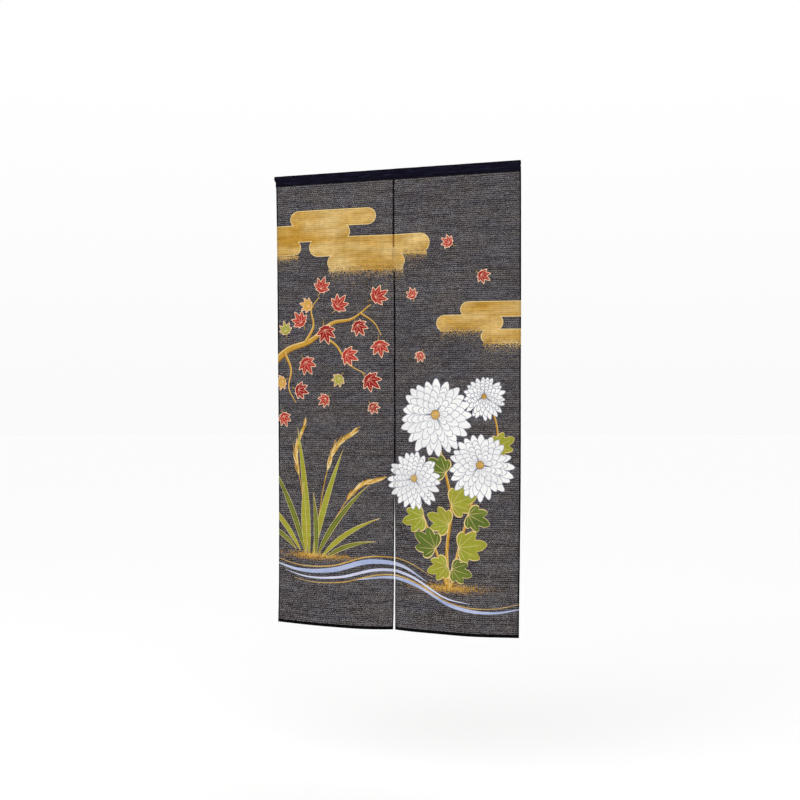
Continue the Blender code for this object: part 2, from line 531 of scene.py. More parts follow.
BLADE_SHAPE = {"widest": 0.40, "blunt": 0.9, "steps": 12}
RIB_STATIONS = (0.0, 0.2, 0.4, 0.6, 0.8, 0.93)


def blade(base, angle, length, width, bend, ink):
    """A long grass blade with a gold edge and midrib."""
    base = Vector(base)
    along = direction(angle)
    side = Vector((-math.sin(angle), math.cos(angle)))
    rib = [
        base + along * length * share + side * bend * length * share ** 2
        for share in RIB_STATIONS
    ]
    return [
        ("pale_gold", petal(base, angle, length, width, bend=bend, **BLADE_SHAPE)),
        (ink, petal(base + LINE * along, angle, length - 4.0 * LINE, width - 1.6 * FINE_LINE,
                    bend=bend, **BLADE_SHAPE)),
        ("ochre", stroke(rib, 0.0012, HAIRLINE)),
    ]


PLUME_STATIONS = 14            # points of the stalk that carry hairs
HAIR_WIDTH = 0.0034
HAIR_LENGTHS = (0.7, 1.1)      # as shares of the usual length
TIP_SHORTENING = 0.35          # how much shorter the hairs are at the stalk's tip
PALE_HAIRS = 0.4               # share of all
HAIR_BEND = 0.30
HAIR_SPREAD = (0.12, 0.50)     # least and most that a hair turns from the stalk


def plume_grass(base, points, hair_length, seed):
    """A thin stalk whose top spreads into a plume of fine drooping hairs."""
    chance = random.Random(seed)
    line = smooth([base] + list(points), 8)
    inked = [("ochre", stroke(line, 0.0036, 0.0016))]
    plume = line[-PLUME_STATIONS:]
    for place, point in enumerate(plume):
        ahead = ahead_at(plume, place)
        heading = math.atan2(ahead.y, ahead.x)
        shortened = 1.0 - TIP_SHORTENING * place / (len(plume) - 1)
        for sign in (-1, 1, -1, 1):
            hair = hair_length * shortened * chance.uniform(*HAIR_LENGTHS)
            angle = heading + sign * chance.uniform(*HAIR_SPREAD)
            ink = "pale_gold" if chance.random() < PALE_HAIRS else "ochre"
            outline = petal(point, angle, hair, HAIR_WIDTH, 0.45, 0.8, -sign * HAIR_BEND)
            inked.append((ink, outline))
    return inked


# The design. Places are in metres from the middle of the curtain's top edge

CLOUDS = (
    # bars of one cloud: left, right, middle, height
    ((-0.372, -0.060, -0.150, 0.056), (-0.470, -0.150, -0.198, 0.058), (-0.300, 0.128, -0.246, 0.064),
     (-0.470, -0.330, -0.245, 0.050), (-0.232, 0.040, -0.300, 0.056)),
    ((0.232, 0.480, -0.466, 0.050), (0.150, 0.372, -0.508, 0.052), (0.300, 0.480, -0.552, 0.046)),
)
DUST = (
    # ink, count, left, right, level, fall, seed, size of the specks
    ("cloth", 950, -0.228, 0.036, -0.329, -0.011, 11, 0.0021),
    ("gold", 1100, -0.226, 0.034, -0.322, 0.014, 12, 0.0023),
    ("cloth", 330, 0.036, 0.116, -0.279, -0.008, 20, 0.0020),
    ("gold", 420, 0.036, 0.118, -0.274, 0.012, 13, 0.0022),
    ("cloth", 260, -0.424, -0.338, -0.278, -0.007, 22, 0.0020),
    ("gold", 340, -0.424, -0.340, -0.272, 0.012, 14, 0.0022),
    ("cloth", 420, 0.308, 0.426, -0.576, -0.008, 23, 0.0020),
    ("gold", 520, 0.308, 0.426, -0.570, 0.014, 15, 0.0022),
    ("cloth", 380, 0.164, 0.300, -0.535, -0.008, 24, 0.0020),
    ("gold", 420, 0.164, 0.300, -0.530, 0.012, 16, 0.0022),
)
MOUNDS = (
    # ink, count, centre, reach across and up, seed, size of the specks
    ("brown", 420, (0.190, -1.356), (0.150, 0.021), 17, 0.0022),
    ("ochre", 1000, (0.196, -1.351), (0.150, 0.019), 18, 0.0023),
    ("gold", 260, (0.200, -1.348), (0.130, 0.015), 19, 0.0020),
    ("brown", 300, (-0.292, -1.272), (0.125, 0.018), 21, 0.0022),
    ("ochre", 760, (-0.288, -1.268), (0.125, 0.016), 25, 0.0023),
    ("gold", 200, (-0.284, -1.265), (0.105, 0.012), 26, 0.0020),
    ("ochre", 240, (-0.192, -1.270), (0.085, 0.011), 27, 0.0021),
)
BRANCHES = (
    # points, width at the root, width at the tip
    (((-0.460, -0.640), (-0.385, -0.584), (-0.296, -0.556), (-0.216, -0.500), (-0.142, -0.486),
      (-0.078, -0.440)), 0.024, 0.003),
    (((-0.316, -0.562), (-0.284, -0.508), (-0.292, -0.452), (-0.262, -0.412)), 0.010, 0.002),
    (((-0.262, -0.536), (-0.200, -0.572), (-0.158, -0.632), (-0.096, -0.668)), 0.009, 0.002),
    (((-0.398, -0.592), (-0.372, -0.650), (-0.382, -0.712), (-0.352, -0.764)), 0.010, 0.002),
    (((-0.116, -0.466), (-0.068, -0.500), (-0.044, -0.542)), 0.006, 0.002),
)
MAPLE = (
    # centre, radius, angle, ink
    ((-0.300, -0.440), 0.036, 2.9, "ochre"), ((-0.392, -0.524), 0.036, 1.8, "green"),
    ((-0.196, -0.446), 0.046, 0.9, "red"), ((-0.240, -0.520), 0.050, -1.3, "deep_red"),
    ((-0.330, -0.496), 0.044, 2.2, "red"), ((-0.256, -0.386), 0.042, 1.2, "red"),
    ((-0.064, -0.418), 0.046, 0.5, "red"), ((-0.124, -0.506), 0.042, -1.0, "deep_red"),
    ((-0.050, -0.570), 0.044, -1.4, "red"), ((-0.164, -0.604), 0.046, -0.4, "red"),
    ((-0.186, -0.680), 0.034, -2.2, "green"), ((-0.086, -0.684), 0.048, -0.7, "deep_red"),
    ((-0.316, -0.626), 0.048, -1.0, "red"), ((-0.404, -0.690), 0.036, 3.6, "ochre"),
    ((-0.344, -0.718), 0.042, -0.3, "deep_red"), ((-0.404, -0.806), 0.038, -1.2, "red"),
    ((-0.236, -0.748), 0.034, -2.5, "red"), ((-0.074, -0.772), 0.030, -0.9, "deep_red"),
    ((0.196, -0.252), 0.032, 2.6, "red"), ((0.300, -0.356), 0.034, -0.6, "deep_red"),
    ((0.066, -0.418), 0.030, 1.9, "red"), ((0.096, -0.606), 0.028, -2.0, "red"),
)
STEMS = (
    # points, width at the root, width at the tip
    (((0.196, -1.350), (0.190, -1.220), (0.205, -1.080), (0.170, -0.930), (0.155, -0.830)),
     0.012, 0.006),
    (((0.205, -1.345), (0.232, -1.220), (0.268, -1.100), (0.300, -0.980)), 0.010, 0.006),
    (((0.188, -1.340), (0.150, -1.230), (0.105, -1.120), (0.085, -1.030)), 0.009, 0.005),
    (((0.284, -1.060), (0.350, -0.940), (0.352, -0.830), (0.322, -0.760)), 0.007, 0.004),
)
LOBED_LEAVES = (
    # base, angle, length, ink
    ((0.205, -1.085), 0.35, 0.092, "green"), ((0.150, -1.228), 2.55, 0.090, "deep_green"),
    ((0.230, -1.222), 0.15, 0.096, "green"), ((0.198, -1.150), 2.75, 0.084, "green"),
    ((0.186, -0.985), 2.5, 0.076, "deep_green"), ((0.346, -0.905), 0.5, 0.070, "green"),
    ((0.262, -1.115), -0.45, 0.078, "deep_green"), ((0.108, -1.128), -2.9, 0.082, "green"),
    ((0.192, -1.280), 3.45, 0.076, "green"), ((0.206, -1.290), -0.25, 0.074, "deep_green"),
)
CHRYSANTHEMUMS = (
    # centre, radius, turn
    ((0.312, -0.742), 0.064, 0.5), ((0.072, -1.006), 0.088, 0.2),
    ((0.300, -0.958), 0.098, 0.9), ((0.148, -0.800), 0.116, 0.0),
)
GRASS = (
    # base, angle, length, width, bend, ink
    ((-0.316, -1.262), 1.86, 0.330, 0.021, 0.16, "deep_green"),
    ((-0.286, -1.268), 1.36, 0.370, 0.022, -0.10, "green"),
    ((-0.300, -1.270), 1.62, 0.430, 0.024, 0.06, "green"),
    ((-0.335, -1.256), 2.10, 0.270, 0.019, 0.26, "green"),
    ((-0.270, -1.270), 1.12, 0.300, 0.020, -0.22, "deep_green"),
    ((-0.252, -1.272), 0.86, 0.240, 0.018, -0.30, "green"),
    ((-0.352, -1.250), 2.34, 0.190, 0.017, 0.34, "deep_green"),
    ((-0.236, -1.274), 0.66, 0.180, 0.016, -0.36, "deep_green"),
    ((-0.310, -1.266), 1.74, 0.240, 0.020, -0.12, "green"),
    ((-0.276, -1.270), 1.48, 0.210, 0.019, 0.14, "deep_green"),
)
PLUMES = (
    # base, further points, length of the hairs
    ((-0.300, -1.262), ((-0.330, -1.060), (-0.352, -0.930), (-0.322, -0.840)), 0.052),
    ((-0.282, -1.262), ((-0.246, -1.040), (-0.205, -0.920), (-0.140, -0.862)), 0.056),
    ((-0.268, -1.264), ((-0.186, -1.120), (-0.120, -1.040), (-0.052, -1.012)), 0.048),
)
STREAM_BANDS = (
    # ink, width, points
    ("pale_blue", 0.015, (
        (-0.470, -1.290), (-0.340, -1.318), (-0.210, -1.312), (-0.080, -1.280), (0.030, -1.292),
        (0.120, -1.336))),
    ("lilac", 0.008, (
        (-0.400, -1.322), (-0.300, -1.340), (-0.180, -1.334), (-0.050, -1.306), (0.060, -1.322),
        (0.180, -1.382), (0.270, -1.398))),
    ("pale_blue", 0.011, (
        (-0.150, -1.344), (-0.020, -1.330), (0.090, -1.352), (0.210, -1.408), (0.340, -1.424),
        (0.460, -1.404))),
    ("gold", 0.0034, (
        (-0.460, -1.276), (-0.340, -1.302), (-0.210, -1.298), (-0.080, -1.264), (0.040, -1.274),
        (0.140, -1.320))),
    ("gold", 0.0034, (
        (-0.360, -1.346), (-0.280, -1.356), (-0.170, -1.350), (-0.040, -1.322), (0.070, -1.338),
        (0.200, -1.398), (0.330, -1.412), (0.460, -1.388))),
)


BAND_END = 0.001               # width to which a band of the stream tapers
FIRST_PLUME_SEED = 30
FIRST_FLOWER_SEED = 70


def design():
    """The whole print, from the things furthest behind to those in front."""
    inked = []
    for bars in CLOUDS:
        inked += cloud(bars)
    for row in DUST:
        inked += dust(*row)
    for row in MOUNDS:
        inked += mound(*row)
    for ink, width, points in STREAM_BANDS:
        inked.append((ink, stroke(smooth(points, 9), BAND_END, BAND_END, width)))
    for seed, (base, points, length) in enumerate(PLUMES, FIRST_PLUME_SEED):
        inked += plume_grass(base, points, length, seed)
    for row in GRASS:
        inked += blade(*row)
    for points, start_width, end_width in STEMS + BRANCHES:
        inked += branch(points, start_width, end_width)
    for base, angle, length, ink in LOBED_LEAVES:
        inked += lobed_leaf(base, angle, length, ink)
    for row in MAPLE:
        inked += maple(*row)
    for seed, (centre, radius, turn) in enumerate(CHRYSANTHEMUMS, FIRST_FLOWER_SEED):
        inked += chrysanthemum(centre, radius, turn, seed)
    return inked


# Meshes

EXACT = 1e-6                   # distance at which the triangulation takes two points for one
SLIVER = 0.00003               # points nearer than this to a line or to each other join it
HEM_STEP = 0.0008              # how fast a hem thins to the single cloth
PAST = 0.003                   # how far a hem's outline runs out past the cloth


def placed(name, mesh, *materials):
    """A new object of this mesh in the scene."""
    for material in materials:
        mesh.materials.append(material)
    thing = bpy.data.objects.new(name, mesh)
    bpy.context.scene.collection.objects.link(thing)
    return thing


def finished_mesh(name, shape):
    """The bmesh made into a smooth mesh."""
    mesh = bpy.data.meshes.new(name)
    shape.to_mesh(mesh)
    shape.free()
    mesh.shade_smooth()
    return mesh


def thicken(sheet, thin, thick, thick_points):
    """Give an open sheet its thickness, half to each side, and more at some of its points."""
    folded = sheet.vertex_groups.new(name="folded")
    folded.add(thick_points, 1.0, "REPLACE")
    solidify = sheet.modifiers.new("cloth thickness", "SOLIDIFY")
    solidify.thickness = thick
    solidify.offset = 0.0
    solidify.vertex_group = folded.name
    solidify.thickness_vertex_group = thin / thick


def divided(outline, spacing):
    """An outline with more points along its long stretches."""
    points = []
    for start, end in zip(outline, outline[1:] + outline[:1]):
        pieces = max(1, math.ceil((end - start).length / spacing))
        points += [start.lerp(end, piece / pieces) for piece in range(pieces)]
    return points


def counterclockwise(outline):
    area = sum(a.x * b.y - b.x * a.y for a, b in zip(outline, outline[1:] + outline[:1]))
    return outline if area > 0 else outline[::-1]


def rectangle(left, right, low, high):
    return [Vector(p) for p in ((left, low), (right, low), (right, high), (left, high))]


def touches(outline, left, right, low, high):
    xs, ys = [p.x for p in outline], [p.y for p in outline]
    return max(xs) > left and min(xs) < right and max(ys) > low and min(ys) < high


def hem_edges(side, sizes):
    """Inner edges of a panel's left and right hem as it lies flat."""
    left, right = flat_edges(side)
    hems = (sizes.side_hem, sizes.slit_hem) if side == "left" else (sizes.slit_hem, sizes.side_hem)
    return left + hems[0], right - hems[1]


def panel_regions(side, sizes):
    """(ink, outline) pairs of one panel: the cloth, its hems and the print on them."""
    left, right = flat_edges(side)
    left_hem, right_hem = hem_edges(side, sizes)
    top, low = -PANEL_TOP, -CURTAIN_HEIGHT
    # hems run out past the cloth, whose own outline is the first and cuts them off
    regions = [
        ("cloth", rectangle(left, right, low, top)),
        ("cloth", rectangle(left_hem + HEM_STEP, right_hem - HEM_STEP,
                            low + sizes.bottom_hem + HEM_STEP, top + PAST)),
        ("hem", rectangle(left - PAST, left_hem, low - PAST, top + PAST)),
        ("hem", rectangle(right_hem, right + PAST, low - PAST, top + PAST)),
    ]
    regions += [
        (ink, outline) for ink, outline in design() if touches(outline, left, right, low, top)
    ]
    regions.append(("hem", rectangle(left - PAST, right + PAST, low - PAST, low + sizes.bottom_hem)))
    seam = (right_hem, right + PAST) if side == "left" else (left - PAST, left_hem)
    regions.append(("seam", rectangle(*seam, -SEAM_END, top + PAST)))
    return regions


def around(triangle):
    """A triangle's three sides as pairs of points, in its own direction."""
    return zip(triangle, (*triangle[1:], triangle[0]))


def topmost_ink(regions, source):
    """Ink that shows where these regions lie over one another."""
    layers = sorted(source)
    ink = regions[layers[-1]][0]
    if ink == "seam":
        ink = "hem" if regions[layers[-2]][0] in ("cloth", "hem") else "brown"
    return ink


def ink_borders(regions, spacing):
    """Points, the lines between them where the visible ink changes, and the ink to the left
    of each line in each direction."""
    points, outlines = [], []
    for _, outline in regions:
        outline = counterclockwise(divided(outline, spacing))
        outlines.append(list(range(len(points), len(points) + len(outline))))
        points += outline
    points, _, triangles, _, _, sources = delaunay_2d_cdt(points, [], outlines, 1, EXACT, True)
    inked = {}
    for triangle, source in zip(triangles, sources):
        if 0 in source:
            ink = topmost_ink(regions, source)
            inked.update((line, ink) for line in around(triangle))
    lines = [
        (a, b) for (a, b), ink in inked.items()
        if inked.get((b, a)) != ink and (a < b or (b, a) not in inked)
    ]
    return points, lines, inked


def grid_points(side, spacing):
    """Points spread over a flat panel, those of every other row a little to the right."""
    left, right = flat_edges(side)
    height = CURTAIN_HEIGHT - PANEL_TOP
    columns, rows = int((right - left) / spacing), int(height / spacing)
    return [
        Vector((
            left + column * (right - left) / columns + 0.25 * (row % 2) * spacing,
            -PANEL_TOP - row * height / rows,
        ))
        for column in range(1, columns) for row in range(1, rows)
    ]


def run_out(known, triangles, beside, walls):
    """The ink of each triangle, run out from the known ones as far as the walls."""
    inks = dict(known)
    reached = list(known)
    while reached:
        number = reached.pop()
        for a, b in around(triangles[number]):
            after = beside.get((b, a))
            if after is not None and after not in inks and frozenset((a, b)) not in walls:
                inks[after] = inks[number]
                reached.append(after)
    return inks


def flat_panel(side, sizes):
    """Points of one panel as it lies flat, and its triangles with their inks."""
    old_points, lines, inked = ink_borders(panel_regions(side, sizes), sizes.point_spacing)
    used = sorted({end for line in lines for end in line})
    place = {old: new for new, old in enumerate(used)}
    points, edges, triangles, merged, drawn, _ = delaunay_2d_cdt(
        [old_points[old] for old in used] + grid_points(side, sizes.point_spacing),
        [(place[a], place[b]) for a, b in lines], [], 1, EXACT, True,
    )
    ends = [[used[old] for old in sources if old < len(used)] for sources in merged]
    walls = {frozenset(edge) for edge, sources in zip(edges, drawn) if sources}
    beside = {
        line: number for number, triangle in enumerate(triangles) for line in around(triangle)
    }
    known = {
        number: inked[start, end]
        for (a, b), number in beside.items() if frozenset((a, b)) in walls
        for start in ends[a] for end in ends[b] if (start, end) in inked
    }
    inks = run_out(known, triangles, beside, walls)
    return points, [(triangles[number], ink) for number, ink in sorted(inks.items())]


def flat_sheet(side, sizes, inks):
    """One panel's mesh as it lies flat, with a material slot for each ink in their order."""
    flat_points, inked_triangles = flat_panel(side, sizes)
    slots = {ink: slot for slot, ink in enumerate(inks)}
    sheet = bmesh.new()
    corners = [sheet.verts.new((point.x, point.y, 0.0)) for point in flat_points]
    for triangle, ink in inked_triangles:
        face = sheet.faces.new([corners[corner] for corner in triangle])
        face.material_index = slots[ink]
    for _ in range(2):
        bmesh.ops.dissolve_degenerate(sheet, dist=SLIVER, edges=sheet.edges)
        bmesh.ops.triangulate(sheet, faces=sheet.faces)
    bmesh.ops.delete(sheet, geom=[v for v in sheet.verts if not v.link_faces], context="VERTS")
    left, right = flat_edges(side)
    missing = (right - left) * (CURTAIN_HEIGHT - PANEL_TOP) - sum(f.calc_area() for f in sheet.faces)
    if abs(missing) > EXACT:
        raise RuntimeError(f"The print left {missing:.6f} square metres of the {side} panel out")
    sheet.verts.index_update()
    return sheet


def add_panel(side, sizes, materials):
    """One printed panel as a thin closed sheet on its solid's shape."""
    sheet = flat_sheet(side, sizes, materials)
    left_hem, right_hem = hem_edges(side, sizes)
    hem_top = -CURTAIN_HEIGHT + sizes.bottom_hem
    hemmed = [
        corner.index for corner in sheet.verts
        if corner.co.x < left_hem + SLIVER or corner.co.x > right_hem - SLIVER
        or corner.co.y < hem_top + SLIVER
    ]
    for corner in sheet.verts:
        corner.co = cloth_point(side, corner.co.x, -corner.co.y)
    name = side + "_cloth"
    panel = placed(name, finished_mesh(name, sheet), *materials.values())
    thicken(panel, sizes.cloth_thickness, sizes.hem_thickness, hemmed)
    return panel


# Materials

def new_material(name):
    material = bpy.data.materials.new(name)
    material.use_nodes = True
    tree = material.node_tree
    tree.nodes.clear()
    return material, tree


def linked(tree, kind, inputs=None, **settings):
    """A node with its settings, and its inputs linked from sockets or set to values."""
    node = tree.nodes.new(kind)
    for name, value in settings.items():
        setattr(node, name, value)
    for name, value in (inputs or {}).items():
        socket = node.inputs[name]
        if isinstance(value, bpy.types.NodeSocket):
            tree.links.new(value, socket)
        else:
            socket.default_value = value
    return node


def maths(tree, operation, *values, clamp=False):
    """The result of a maths node on sockets or numbers."""
    node = linked(tree, "ShaderNodeMath", dict(enumerate(values)), operation=operation, use_clamp=clamp)
    return node.outputs[0]


def sums(tree):
    """Plus, minus, times and over, for sockets or numbers of this tree."""
    return [partial(maths, tree, kind) for kind in ("ADD", "SUBTRACT", "MULTIPLY", "DIVIDE")]


def remapped(tree, value, low, high, to_low=0.0, to_high=1.0):
    """A value moved from one range to another, and kept inside it."""
    return linked(tree, "ShaderNodeMapRange", {
        0: value, 1: low, 2: high, 3: to_low, 4: to_high}).outputs[0]


NOISE_RANGE = (0.3, 0.7)       # where nearly all of a smooth noise lies


def varied(tree, value, to_low, to_high):
    """Smooth noise moved to another range."""
    return remapped(tree, value, *NOISE_RANGE, to_low, to_high)


def object_place(tree):
    return linked(tree, "ShaderNodeTexCoord").outputs["Object"]


def noise_over(tree, place, steps, detail):
    """Noise over a place, with so many steps a metre along X, Y and Z."""
    drawn = linked(tree, "ShaderNodeMapping", {"Vector": place, "Scale": steps}).outputs[0]
    return linked(tree, "ShaderNodeTexNoise", {
        "Vector": drawn, "Scale": 1.0, "Detail": detail}).outputs[0]


def mixed_colour(tree, share, colour, second):
    return linked(tree, "ShaderNodeMix", {
        "Factor": share, "A": (*colour, 1.0), "B": (*second, 1.0)}, data_type="RGBA").outputs["Result"]


def toned(tree, colour, tone):
    """A colour made lighter or darker."""
    return linked(tree, "ShaderNodeVectorMath", {0: colour, "Scale": tone}, operation="SCALE").outputs[0]


# How much of its pitch a thread fills, in its thin and in its thick places
WARP_FILL = (0.42, 0.58)
WEFT_FILL = (0.79, 0.91)
# How much a level row adds to that: in its middle, by its slubs and by its long streaks
ROW_FILL, ROW_SLUB_FILL, ROW_STREAK_FILL = 0.11, 0.03, 0.035
THREAD_SOFTNESS = 0.12         # width of a thread's soft edge, as a share of half its pitch
WARP_HEIGHT = 0.85             # height of an upright thread, as a share of a level one's
ROW_TONES = (0.82, 1.20)       # lightness in the middle of a row, and between two
# How much threads, rows and their streaks differ in lightness
WEFT_UNEVEN, ROW_UNEVEN, STREAK_UNEVEN, WARP_UNEVEN, UPRIGHT_UNEVEN = 0.13, 0.09, 0.13, 0.08, 0.06
DRIFT_ALONG, DRIFT_ACROSS = 0.05, 0.03     # distances over which a thread's wandering changes
WEFT_WANDER, WARP_WANDER = 0.5, 0.4        # how far a thread wanders, in pitches
YARN_KEY, SLUB_KEY = 5.37, 3.3             # steps in the noise from one yarn or use to the next
WEFT_KEY, WARP_KEY, ROW_KEY, UPRIGHT_KEY = 1.7, 8.1, 4.9, 6.6


def weave_group(sizes):
    """Threads of the sheer slub cloth: how open it is at a point, how high, how light."""
    tree = bpy.data.node_groups.new("slub weave", "ShaderNodeTree")
    for name in ("Gap", "Height", "Tone"):
        tree.interface.new_socket(name, in_out="OUTPUT", socket_type="NodeSocketFloat")
    plus, minus, times, over = sums(tree)
    split = linked(tree, "ShaderNodeSeparateXYZ", {0: object_place(tree)})
    x, z = split.outputs["X"], split.outputs["Z"]

    def field(along, across, key):
        """Smooth noise over two coordinates, each in its own steps."""
        spot = linked(tree, "ShaderNodeCombineXYZ", {0: along, 1: across, 2: key}).outputs[0]
        return linked(tree, "ShaderNodeTexNoise", {
            "Vector": spot, "Scale": 1.0, "Detail": 0.0}).outputs[0]

    def yarn(along, across, pitch, wander, lengths, key):
        """Distance from the middle of a yarn as a share, then its thick and thin places, as
        noise of each of these lengths."""
        drift = field(over(along, DRIFT_ALONG), over(across, DRIFT_ACROSS), key)
        turn = plus(over(across, pitch), times(drift, wander))
        number = maths(tree, "FLOOR", turn)
        offset = maths(tree, "ABSOLUTE", minus(times(maths(tree, "FRACT", turn), 2.0), 1.0))
        return [offset] + [
            field(over(along, length), times(number, YARN_KEY), key + SLUB_KEY + step)
            for step, length in enumerate(lengths)
        ]

    def gap(offset, fill):
        return over(minus(offset, fill), THREAD_SOFTNESS, clamp=True)

    def roundness(offset):
        return minus(1.0, times(offset, offset))

    slub, group = sizes.slub_length, sizes.yarn_group
    weft, weft_slub = yarn(x, z, sizes.weft_pitch, WEFT_WANDER, [slub], WEFT_KEY)
    warp, warp_slub = yarn(z, x, sizes.warp_pitch, WARP_WANDER, [2.0 * slub], WARP_KEY)
    # threads lie in level rows and upright ones, and the cloth is more open between the rows
    row, row_slub, row_streak = yarn(
        x, z, group * sizes.weft_pitch, WEFT_WANDER / group, [1.5 * slub, 7.0 * slub], ROW_KEY)
    _, upright = yarn(
        z, x, group * sizes.warp_pitch, WARP_WANDER / group, [12.0 * slub], UPRIGHT_KEY)
    row_fill = plus(
        varied(tree, row_slub, -ROW_SLUB_FILL, ROW_SLUB_FILL),
        varied(tree, row_streak, -ROW_STREAK_FILL, ROW_STREAK_FILL))
    row_fill = plus(remapped(tree, row, 0.0, 1.0, ROW_FILL, -ROW_FILL), row_fill)
    weft_gap = gap(weft, plus(varied(tree, weft_slub, *WEFT_FILL), row_fill))
    warp_gap = gap(warp, varied(tree, warp_slub, *WARP_FILL))
    tone = remapped(tree, row, 0.0, 1.0, *ROW_TONES)
    for value, uneven in (
        (weft_slub, WEFT_UNEVEN), (row_slub, ROW_UNEVEN), (row_streak, STREAK_UNEVEN),
        (warp_slub, WARP_UNEVEN), (upright, UPRIGHT_UNEVEN),
    ):
        tone = times(tone, varied(tree, value, 1.0 + uneven, 1.0 - uneven))
    linked(tree, "NodeGroupOutput", {
        "Gap": times(weft_gap, warp_gap),
        "Height": maths(tree, "MAXIMUM", roundness(weft), times(roundness(warp), WARP_HEIGHT)),
        "Tone": tone,
    })
    return tree


BLOTS = (7.0, 7.0, 21.0)       # steps a metre of the streaks in which a colour drifts
BLOT_RANGE = (0.34, 0.68)      # noise at which the drift starts and is full
ROUGHNESS = 0.85
GLOSS = 0.04                   # specular level of matt cloth and ink
THREAD_RELIEF = 0.0004         # height of the sheer cloth's threads, and of the sleeve's ribs
RIB_RELIEF = 0.0003
TWIST = (2500.0, 2500.0, 2500.0)           # steps a metre in the sewing thread


def matt_shader(tree, colour, height, strength, relief):
    """The shader of matt cloth whose threads stand up by their height."""
    bump = linked(tree, "ShaderNodeBump", {
        "Height": height, "Strength": strength, "Distance": relief}).outputs[0]
    return linked(tree, "ShaderNodeBsdfPrincipled", {
        "Base Color": colour, "Roughness": ROUGHNESS, "Specular IOR Level": GLOSS,
        "Normal": bump}).outputs[0]


def sheer_material(name, colour, second, weave, drift, closed, shade, uneven):
    """Cloth or ink on it, drifting from one colour to a second in soft level streaks. closed
    is the share of the gaps that ink or a fold shuts."""
    material, tree = new_material(name)
    plus, _, times, _ = sums(tree)
    threads = linked(tree, "ShaderNodeGroup", node_tree=weave)
    gap, height, thread_tone = (threads.outputs[name] for name in ("Gap", "Height", "Tone"))
    blot = noise_over(tree, object_place(tree), BLOTS, 4.0)
    pigment = mixed_colour(tree, remapped(tree, blot, *BLOT_RANGE, 0.0, drift), colour, second)
    # painted shade: each thread darker at its round sides, by shade, than along its middle
    tone = times(
        remapped(tree, height, 0.0, 1.0, 1.0 - shade, 1.0),
        plus(1.0 - uneven, times(thread_tone, uneven)))
    shader = matt_shader(tree, toned(tree, pigment, tone), height, 0.35, THREAD_RELIEF)
    inside = linked(tree, "ShaderNodeNewGeometry").outputs["Backfacing"]
    passing = maths(tree, "MAXIMUM", times(gap, 1.0 - closed), inside)
    clear = linked(tree, "ShaderNodeBsdfTransparent")
    mixed = linked(tree, "ShaderNodeMixShader", {0: passing, 1: shader, 2: clear.outputs[0]})
    linked(tree, "ShaderNodeOutputMaterial", {"Surface": mixed.outputs[0]})
    return material


def thread_material(colours):
    """Sewing thread with a fine twist."""
    material, tree = new_material("thread_black")
    plus, _, times, _ = sums(tree)
    twist = noise_over(tree, object_place(tree), TWIST, 2.0)
    tone = toned(tree, tuple(colours.hem), plus(0.7, times(twist, 0.6)))
    shader = linked(tree, "ShaderNodeBsdfPrincipled", {"Base Color": tone, "Roughness": 0.6})
    linked(tree, "ShaderNodeOutputMaterial", {"Surface": shader.outputs[0]})
    return material


INKS = (
    # ink, ink it drifts towards and how far, share of the gaps closed, painted shade on
    #  the threads' round sides between them, how much the threads' tone shows
    ("cloth", "warm_cloth", 1.0, 0.0, 0.45, 1.0),
    ("hem", "hem", 0.0, 0.99, 0.45, 0.5),
    ("gold", "light_gold", 0.9, 0.86, 0.38, 0.75),
    ("pale_gold", "light_gold", 0.5, 0.88, 0.20, 0.30),
    ("ochre", "gold", 0.6, 0.92, 0.30, 0.40),
    ("brown", "ochre", 0.2, 0.92, 0.30, 0.40),
    ("red", "deep_red", 0.5, 0.92, 0.25, 0.35),
    ("deep_red", "red", 0.3, 0.92, 0.25, 0.35),
    ("blush", "light_gold", 0.2, 0.92, 0.20, 0.25),
    ("white", "shaded_white", 0.8, 0.97, 0.10, 0.14),
    ("grey_line", "shaded_white", 0.2, 0.95, 0.15, 0.15),
    ("green", "olive", 0.4, 0.92, 0.30, 0.40),
    ("deep_green", "green", 0.3, 0.92, 0.30, 0.40),
    ("pale_blue", "lilac", 0.7, 0.92, 0.25, 0.30),
    ("lilac", "pale_blue", 0.4, 0.92, 0.20, 0.25),
)


def panel_materials(sizes, colours):
    """One material for the bare cloth, the hems and each ink, in the order of INKS."""
    weave = weave_group(sizes)
    return {
        ink: sheer_material(
            ink + "_print", getattr(colours, ink), getattr(colours, second), weave, *numbers)
        for ink, second, *numbers in INKS
    }


SLEEVE_HIGHLIGHT_STREAKS = (26.0, 300.0, 420.0) # steps a metre of the sleeve's painted highlights, lighter streaks where folds and gathers catch light
HIGHLIGHT_RANGE = (0.50, 0.78)    # noise at which a painted highlight starts and is full
HIGHLIGHT_LIGHTNESS = 5.0             # how much lighter than the sleeve the painted highlights are
TOP_FOLD_PAINTED_SHADE = 0.25              # lightness left by the painted shade at the sleeve's top fold
TOP_SHADE_DEPTHS = (0.0065, 0.0015) # depths between which the lightness falls off to that painted shade
LOWER_EDGE_PAINTED_SHADE = 0.35              # lightness left by the painted shade at its lower edge, over the panels
LOWER_SHADE_HEIGHTS = (0.0015, 0.007) # heights over that edge between which the lightness comes back
RIB_SCALE = 0.35               # of the ribs' wave texture, which makes about one rib a thread


